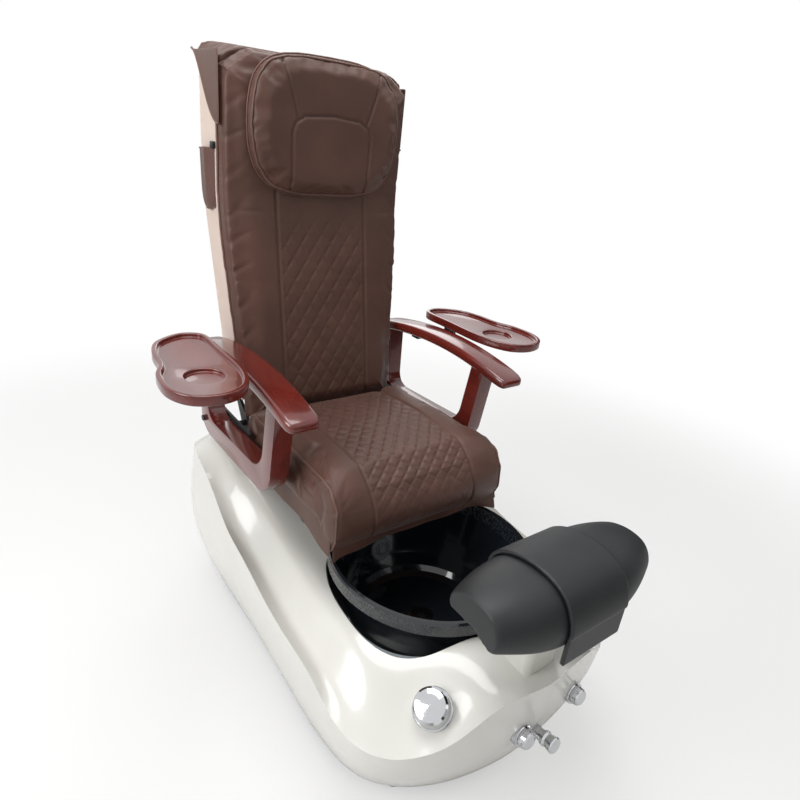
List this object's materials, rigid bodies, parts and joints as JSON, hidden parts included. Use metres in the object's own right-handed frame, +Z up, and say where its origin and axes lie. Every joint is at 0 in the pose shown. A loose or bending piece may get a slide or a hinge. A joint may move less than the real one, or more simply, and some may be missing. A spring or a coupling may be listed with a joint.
{
  "type": "pedicure spa chair",
  "caption": "Salon pedicure chair: a moulded tub base with a foot bowl, a sliding seat, a reclining quilted back, lift-up arms with swivelling trays and a padded footrest.",
  "frame": {"origin": "on the floor, at the middle of the overall footprint", "axes": "+Z up, -Y the way the sitter faces, +X to the sitter's left"},
  "size_m": [1.0288, 1.2501, 1.424],
  "materials": {
    "base_gelcoat": "glossy white moulded shell",
    "bowl_acrylic": "glossy near-black basin",
    "surround_gloss": "glossy dark grey recess",
    "chrome_trim": "polished chrome",
    "pipe_plastic": "plain pipe plastic",
    "jet_plastic": "satin grey grille",
    "black_plastic": "fine-grained black plastic",
    "frame_steel": "black powder coat",
    "rail_steel": "drawn steel",
    "rubber_foot": "moulded rubber",
    "footrest_pu": "soft matte black polyurethane skin",
    "seat_leather": "dark brown soft synthetic leather",
    "back_panel": "pale warm beige cover panel",
    "board_wood": "raw plywood",
    "cherry_wood": "high-gloss cherry lacquer",
    "roller_rubber": "grey kneading rubber"
  },
  "bodies": {
    "base": {"base_shell": "base_gelcoat", "bowl_surround": "surround_gloss", "foot_bowl": "bowl_acrylic", "drain_strainer": "chrome_trim", "drain_pipe": "pipe_plastic", "jet_cover": "jet_plastic", "jet_motor": "black_plastic", "base_frame": "frame_steel", "levelling_feet": "rubber_foot", "seat_pedestal": "frame_steel", "slide_rails": "rail_steel", "slide_drive": "rail_steel", "control_box": "black_plastic", "power_inlet": "black_plastic", "mixer_plate": "chrome_trim", "mixer_valve": "rail_steel", "drain_plate": "chrome_trim", "drain_valve": "rail_steel", "air_plate": "chrome_trim", "air_valve": "rail_steel", "sprayer_collar": "chrome_trim", "footrest_column": "base_gelcoat", "footrest_socket": "frame_steel"},
    "mixer": {"mixer_knob": "chrome_trim"},
    "drain_control": {"drain_knob": "chrome_trim"},
    "air_control": {"air_knob": "chrome_trim"},
    "sprayer": {"sprayer_head": "chrome_trim"},
    "footrest": {"footrest_post": "rail_steel", "footrest_pad": "footrest_pu", "footrest_saddle": "footrest_pu"},
    "seat": {"seat_frame": "frame_steel", "seat_board": "board_wood", "seat_cushion": "seat_leather", "slide_runners": "rail_steel", "seat_flaps": "seat_leather", "slide_nut": "rail_steel", "arm_bracket_left": "frame_steel", "arm_bracket_right": "frame_steel"},
    "back": {"back_frame": "frame_steel", "back_shell": "back_panel", "back_cushion": "seat_leather", "cover_hood": "seat_leather", "head_pillow": "seat_leather", "massage_rails": "rail_steel", "side_pocket": "seat_leather"},
    "carriage": {"massage_carriage": "black_plastic"},
    "rollers": {"kneading_rollers": "roller_rubber"},
    "arm_left": {"arm_pad_left": "cherry_wood", "arm_loop_left": "cherry_wood", "tray_bracket_left": "frame_steel"},
    "arm_right": {"arm_pad_right": "cherry_wood", "arm_loop_right": "cherry_wood", "tray_bracket_right": "frame_steel"},
    "tray_left": {"tray_left": "cherry_wood"},
    "tray_right": {"tray_right": "cherry_wood"}
  },
  "joints": [
    {"name": "mixer_turn", "type": "hinge", "parent": "base", "child": "mixer", "pos_m": [-0.20523, -0.4669, 0.30401], "axis": [-0.5009, -0.2404, 0.8315], "range_deg": [-90, 90]},
    {"name": "drain_turn", "type": "hinge", "parent": "base", "child": "drain_control", "pos_m": [-0.052, -0.56221, 0.23883], "axis": [0, -0.9848, 0.1739], "range_deg": [0, 90]},
    {"name": "air_turn", "type": "hinge", "parent": "base", "child": "air_control", "pos_m": [0.112, -0.55292, 0.24425], "axis": [0, -0.9848, 0.1739], "range_deg": [0, 270]},
    {"name": "sprayer_pull", "type": "slide", "parent": "base", "child": "sprayer", "axis": [0, -0.9848, 0.1739], "range_m": [0, 0.03]},
    {"name": "footrest_lift", "type": "slide", "parent": "base", "child": "footrest", "axis": [0, 0, 1], "range_m": [-0.04, 0.06]},
    {"name": "seat_slide", "type": "slide", "parent": "base", "child": "seat", "axis": [0, -1, 0], "range_m": [0, 0.1]},
    {"name": "back_recline", "type": "hinge", "parent": "seat", "child": "back", "pos_m": [0, 0.37293, 0.52], "axis": [-1, 0, 0], "range_deg": [0, 30]},
    {"name": "massage_travel", "type": "slide", "parent": "back", "child": "carriage", "axis": [0, 0.1305, 0.9914], "range_m": [-0.15, 0.34]},
    {"name": "kneading_turn", "type": "hinge", "parent": "carriage", "child": "rollers", "pos_m": [0, 0.46839, 0.90167], "axis": [1, 0, 0], "continuous": true},
    {"name": "arm_lift_left", "type": "hinge", "parent": "seat", "child": "arm_left", "pos_m": [0.29, 0.42493, 0.53], "axis": [-1, 0, 0], "range_deg": [0, 45]},
    {"name": "arm_lift_right", "type": "hinge", "parent": "seat", "child": "arm_right", "pos_m": [-0.29, 0.42493, 0.53], "axis": [-1, 0, 0], "range_deg": [0, 45]},
    {"name": "tray_swivel_left", "type": "hinge", "parent": "arm_left", "child": "tray_left", "pos_m": [0.4, 0.29293, 0.78], "axis": [0, 0, 1], "range_deg": [0, 90]},
    {"name": "tray_swivel_right", "type": "hinge", "parent": "arm_right", "child": "tray_right", "pos_m": [-0.4, 0.29293, 0.78], "axis": [0, 0, -1], "range_deg": [0, 90]}
  ]
}
